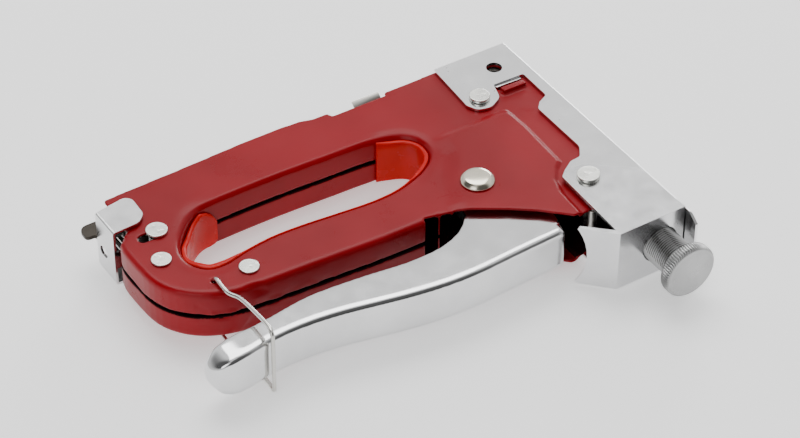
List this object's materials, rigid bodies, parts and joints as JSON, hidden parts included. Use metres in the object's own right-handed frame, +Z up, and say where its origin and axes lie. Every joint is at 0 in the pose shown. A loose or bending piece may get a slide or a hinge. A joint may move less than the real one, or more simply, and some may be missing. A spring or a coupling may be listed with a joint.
{
  "type": "staple gun",
  "caption": "Hand staple gun lying on its side: pressed steel shells with a finger slot, chromed lever, nose cover, wire bail, tension screw and slide-out magazine.",
  "frame": {"origin": "on the ground plane under the middle of the gun's bounding box, with the gun lying on its left side", "axes": "+X from the rear of the magazine to the nose, +Y towards the face the staples leave from (the lever and screw are on -Y), +Z up, across the gun's thickness"},
  "size_m": [0.1854, 0.1396, 0.0298],
  "materials": {
    "red_paint": "glossy enamel with a slight orange peel",
    "liner_plastic": "translucent glossy plastic",
    "nose_chrome": "bright plating over rolled sheet",
    "bracket_chrome": "bright plating over rolled sheet",
    "lever_chrome": "polished plating",
    "latch_chrome": "bright plating",
    "rivet_zinc": "pale zinc",
    "pivot_nickel": "polished nickel",
    "screw_satin": "satin turned steel",
    "inner_steel": "oiled plain steel",
    "inner_zinc": "zinc plated",
    "staple_wire": "galvanised wire",
    "bumper_rubber": "matt black",
    "dark_steel": "blackened",
    "spring_steel": "drawn spring wire",
    "bail_steel": "bright drawn wire"
  },
  "bodies": {
    "body": {"shell_right": "red_paint", "shell_left": "red_paint", "finger_liner": "liner_plastic", "nose_cover": "nose_chrome", "head_bracket": "bracket_chrome", "nose_rivet_lower": "rivet_zinc", "nose_rivet_upper": "rivet_zinc", "rear_rivet_lower": "rivet_zinc", "rear_rivet_middle": "rivet_zinc", "rear_rivet_upper": "rivet_zinc", "lever_pivot_rivet": "pivot_nickel", "stop_pin": "rivet_zinc", "rear_spacer_lower": "inner_steel", "rear_spacer_middle": "inner_steel", "rear_spacer_upper": "inner_steel", "screw_block": "inner_steel", "driver_guide": "inner_zinc", "hammer_bumper": "bumper_rubber", "bumper_carrier": "inner_zinc", "magazine_channel": "inner_zinc", "main_spring": "spring_steel", "lever_return_spring": "spring_steel"},
    "lever_assembly": {"lever": "lever_chrome", "lifting_claw": "inner_steel", "claw_pin": "rivet_zinc"},
    "bail": {"bail_wire": "bail_steel"},
    "hammer_assembly": {"hammer": "inner_steel", "driver_blade": "inner_steel"},
    "seat": {"spring_seat": "inner_steel"},
    "screw": {"tension_screw": "screw_satin"},
    "magazine": {"magazine_tray": "inner_steel", "staple_rail": "inner_zinc", "staple_strip": "staple_wire", "guide_rod": "inner_steel", "magazine_latch": "latch_chrome", "pull_tab": "dark_steel", "pusher_spring": "spring_steel"},
    "pusher": {"staple_pusher": "inner_steel"}
  },
  "joints": [
    {"name": "lever_pivot", "type": "hinge", "parent": "body", "child": "lever_assembly", "pos_m": [0.03712, 0.00225, 0.0149], "axis": [0, 0, 1], "range_deg": [0, 22], "deforming": ["lever_return_spring"]},
    {"name": "bail_swing", "type": "hinge", "parent": "body", "child": "bail", "pos_m": [-0.06998, 0.00745, 0.0149], "axis": [0, 0, 1], "range_deg": [-100, 0], "deforming": ["bail_wire"]},
    {"name": "hammer_slide", "type": "slide", "parent": "body", "child": "hammer_assembly", "axis": [0, -1, 0], "range_m": [0, 0.012], "stiffness_N_per_m": 2500, "springref_m": -0.012, "deforming": ["main_spring"]},
    {"name": "adjuster_travel", "type": "slide", "parent": "body", "child": "seat", "axis": [0, 1, 0], "range_m": [-0.00095, 0.0057]},
    {"name": "adjuster_turn", "type": "hinge", "parent": "seat", "child": "screw", "pos_m": [0.08092, -0.05555, 0.0149], "axis": [0, 1, 0], "range_deg": [-360, 2160]},
    {"name": "magazine_slide", "type": "slide", "parent": "body", "child": "magazine", "axis": [-1, 0, 0], "range_m": [0, 0.13]},
    {"name": "pusher_slide", "type": "slide", "parent": "magazine", "child": "pusher", "axis": [-1, 0, 0], "range_m": [0, 0.09], "stiffness_N_per_m": 30, "springref_m": -0.05, "deforming": ["pusher_spring"]}
  ],
  "couplings": [
    {"joint": "bail_swing", "follows": "lever_pivot", "ratio": -4.5},
    {"joint": "adjuster_turn", "follows": "adjuster_travel", "rad_per_m": 6613.9}
  ]
}
